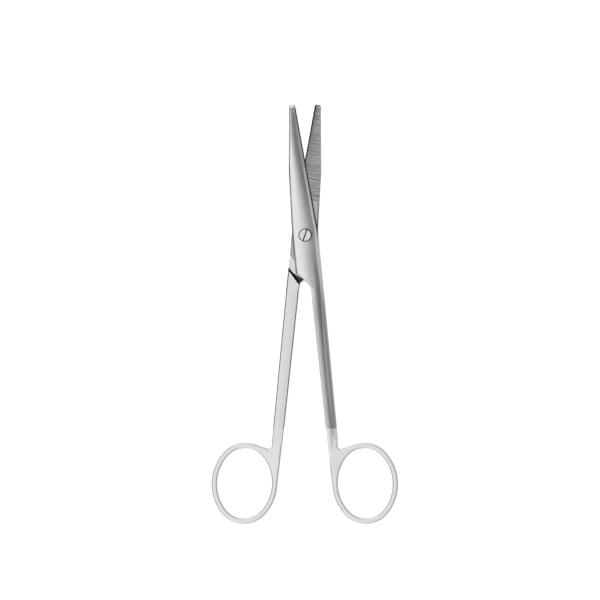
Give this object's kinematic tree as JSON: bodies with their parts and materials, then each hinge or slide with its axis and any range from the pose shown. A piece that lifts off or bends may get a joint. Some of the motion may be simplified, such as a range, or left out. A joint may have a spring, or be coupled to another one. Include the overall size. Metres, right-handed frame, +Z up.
{
  "type": "surgical scissors",
  "caption": "Straight dissecting scissors, half open: two crossed steel halves with blunt tips and finger rings, turning on a slotted screw.",
  "frame": {"origin": "middle of the instrument's outline as it lies half open, on the surface it lies on", "axes": "+Y along the instrument towards the tips, +Z up out of the surface along the screw towards its head, +X towards the ring of the half that lies on top"},
  "size_m": [0.0756, 0.169, 0.0053],
  "materials": {
    "front_steel": "satin ground stainless steel, brighter on the rings",
    "rear_steel": "satin ground stainless steel, brighter on the rings",
    "screw_steel": "turned stainless steel"
  },
  "bodies": {
    "rear_half": {"rear_arm": "rear_steel", "pivot_screw": "screw_steel"},
    "front_half": {"front_arm": "front_steel"}
  },
  "joints": [
    {"name": "screw_pivot", "type": "hinge", "parent": "rear_half", "child": "front_half", "pos_m": [0, 0.03189, 0.00265], "axis": [0, 0, 1], "range_deg": [-11.6, 125]}
  ]
}
